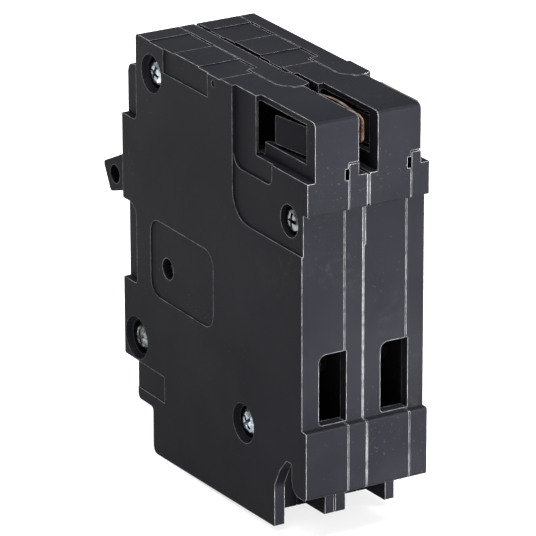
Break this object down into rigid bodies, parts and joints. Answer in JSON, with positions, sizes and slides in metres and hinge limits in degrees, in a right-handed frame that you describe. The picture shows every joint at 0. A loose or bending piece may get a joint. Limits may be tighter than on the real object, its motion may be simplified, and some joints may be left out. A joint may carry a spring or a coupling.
{
  "type": "circuit breaker",
  "caption": "Slim plug-on circuit breaker with side-by-side poles, tied toggle handles, a sprung stab jaw, a rail hook slot, and a full trip mechanism inside.",
  "frame": {"origin": "bottom centre of the box; the breaker stands on its load end", "axes": "+X across the poles, from the first to the second, +Y from the panel side to the handle, +Z to the line end with the stab jaw"},
  "size_m": [0.0254, 0.0798, 0.0813],
  "materials": {
    "case_plastic": "satin moulded thermoset, near black, with pale worn edges",
    "cover_plastic": "satin moulded thermoset, near black",
    "handle_plastic": "satin moulded plastic, black",
    "guard_plastic": "satin moulded plastic, black",
    "trip_bar_plastic": "moulded plastic, buff",
    "copper": "rolled copper strip, lightly tarnished",
    "copper_braid": "braided copper wire",
    "contact_silver": "silver alloy button",
    "zinc_plate": "bright zinc plate, slightly blue",
    "steel": "plain rolled steel",
    "spring_steel": "drawn spring wire",
    "bimetal": "rolled bimetal strip"
  },
  "bodies": {
    "housing": {"pole_1_case": "case_plastic", "pole_1_cover": "cover_plastic", "pole_1_stab_guard": "guard_plastic", "pole_1_line_jaw": "copper", "pole_1_jaw_spring": "spring_steel", "pole_1_line_strap": "copper", "pole_1_fixed_contact": "contact_silver", "pole_1_arm_pin": "steel", "pole_1_toggle_spring": "spring_steel", "pole_1_cradle_pin": "steel", "pole_1_bimetal": "bimetal", "pole_1_magnet_yoke": "steel", "pole_1_armature_pin": "zinc_plate", "pole_1_braid": "copper_braid", "pole_1_load_strap": "copper", "pole_1_arc_plate_1": "steel", "pole_1_arc_plate_2": "steel", "pole_1_arc_plate_3": "steel", "pole_2_case": "case_plastic", "pole_2_cover": "cover_plastic", "pole_2_stab_guard": "guard_plastic", "pole_2_line_jaw": "copper", "pole_2_jaw_spring": "spring_steel", "pole_2_line_strap": "copper", "pole_2_fixed_contact": "contact_silver", "pole_2_arm_pin": "steel", "pole_2_toggle_spring": "spring_steel", "pole_2_cradle_pin": "steel", "pole_2_bimetal": "bimetal", "pole_2_magnet_yoke": "steel", "pole_2_armature_pin": "zinc_plate", "pole_2_braid": "copper_braid", "pole_2_load_strap": "copper", "pole_2_arc_plate_1": "steel", "pole_2_arc_plate_2": "steel", "pole_2_arc_plate_3": "steel", "case_screw_1": "zinc_plate", "case_screw_2": "zinc_plate", "case_screw_3": "zinc_plate", "case_screw_4": "zinc_plate"},
    "handles": {"pole_1_handle": "handle_plastic", "pole_2_handle": "handle_plastic", "handle_tie_pin": "steel"},
    "trip_bar": {"common_trip_bar": "trip_bar_plastic"},
    "pole_1_arm": {"pole_1_contact_arm": "copper", "pole_1_moving_contact": "contact_silver"},
    "pole_1_trip_lever": {"pole_1_cradle": "steel"},
    "pole_1_magnet_plate": {"pole_1_armature": "steel"},
    "pole_1_clamp": {"pole_1_wire_clamp": "steel"},
    "pole_1_screw": {"pole_1_terminal_screw": "zinc_plate"},
    "pole_2_arm": {"pole_2_contact_arm": "copper", "pole_2_moving_contact": "contact_silver"},
    "pole_2_trip_lever": {"pole_2_cradle": "steel"},
    "pole_2_magnet_plate": {"pole_2_armature": "steel"},
    "pole_2_clamp": {"pole_2_wire_clamp": "steel"},
    "pole_2_screw": {"pole_2_terminal_screw": "zinc_plate"}
  },
  "joints": [
    {"name": "handle_throw", "type": "hinge", "parent": "housing", "child": "handles", "pos_m": [-0.00635, 0.01822, 0.05596], "axis": [1, 0, 0], "range_deg": [0, 44]},
    {"name": "trip_bar_turn", "type": "hinge", "parent": "housing", "child": "trip_bar", "pos_m": [-0.00635, 0.00482, 0.02726], "axis": [1, 0, 0], "range_deg": [0, 8], "stiffness_Nm_per_rad": 0.01, "springref_deg": -2.86},
    {"name": "pole_1_arm_swing", "type": "hinge", "parent": "housing", "child": "pole_1_arm", "pos_m": [-0.00635, 0.00802, 0.05446], "axis": [1, 0, 0], "range_deg": [-12.2, 0]},
    {"name": "pole_1_lever_trip", "type": "hinge", "parent": "housing", "child": "pole_1_trip_lever", "pos_m": [-0.00635, -0.02688, 0.03136], "axis": [1, 0, 0], "range_deg": [0, 20.2]},
    {"name": "pole_1_armature_pull", "type": "hinge", "parent": "housing", "child": "pole_1_magnet_plate", "pos_m": [-0.00635, 0.01012, 0.03851], "axis": [1, 0, 0], "range_deg": [0, 8.1]},
    {"name": "pole_1_screw_turn", "type": "hinge", "parent": "housing", "child": "pole_1_screw", "pos_m": [-0.00635, 0.01162, 0.00596], "axis": [0, -1, 0], "range_deg": [0, 2881]},
    {"name": "pole_1_clamp_slide", "type": "slide", "parent": "housing", "child": "pole_1_clamp", "axis": [0, 1, 0], "range_m": [0, 0.008]},
    {"name": "pole_2_arm_swing", "type": "hinge", "parent": "housing", "child": "pole_2_arm", "pos_m": [0.0065, 0.00802, 0.05446], "axis": [1, 0, 0], "range_deg": [-12.2, 0]},
    {"name": "pole_2_lever_trip", "type": "hinge", "parent": "housing", "child": "pole_2_trip_lever", "pos_m": [0.0065, -0.02688, 0.03136], "axis": [1, 0, 0], "range_deg": [0, 20.2]},
    {"name": "pole_2_armature_pull", "type": "hinge", "parent": "housing", "child": "pole_2_magnet_plate", "pos_m": [0.0065, 0.01012, 0.03851], "axis": [1, 0, 0], "range_deg": [0, 8.1]},
    {"name": "pole_2_screw_turn", "type": "hinge", "parent": "housing", "child": "pole_2_screw", "pos_m": [0.0065, 0.01162, 0.00596], "axis": [0, -1, 0], "range_deg": [0, 2881]},
    {"name": "pole_2_clamp_slide", "type": "slide", "parent": "housing", "child": "pole_2_clamp", "axis": [0, 1, 0], "range_m": [0, 0.008]}
  ],
  "couplings": [
    {"joint": "pole_1_arm_swing", "follows": "handle_throw", "ratio": -0.27273},
    {"joint": "pole_1_lever_trip", "follows": "trip_bar_turn", "ratio": 2.5},
    {"joint": "pole_1_armature_pull", "follows": "trip_bar_turn", "ratio": 1},
    {"joint": "pole_1_screw_turn", "follows": "pole_1_clamp_slide", "rad_per_m": 6283.2},
    {"joint": "pole_2_arm_swing", "follows": "handle_throw", "ratio": -0.27273},
    {"joint": "pole_2_lever_trip", "follows": "trip_bar_turn", "ratio": 2.5},
    {"joint": "pole_2_armature_pull", "follows": "trip_bar_turn", "ratio": 1},
    {"joint": "pole_2_screw_turn", "follows": "pole_2_clamp_slide", "rad_per_m": 6283.2}
  ]
}
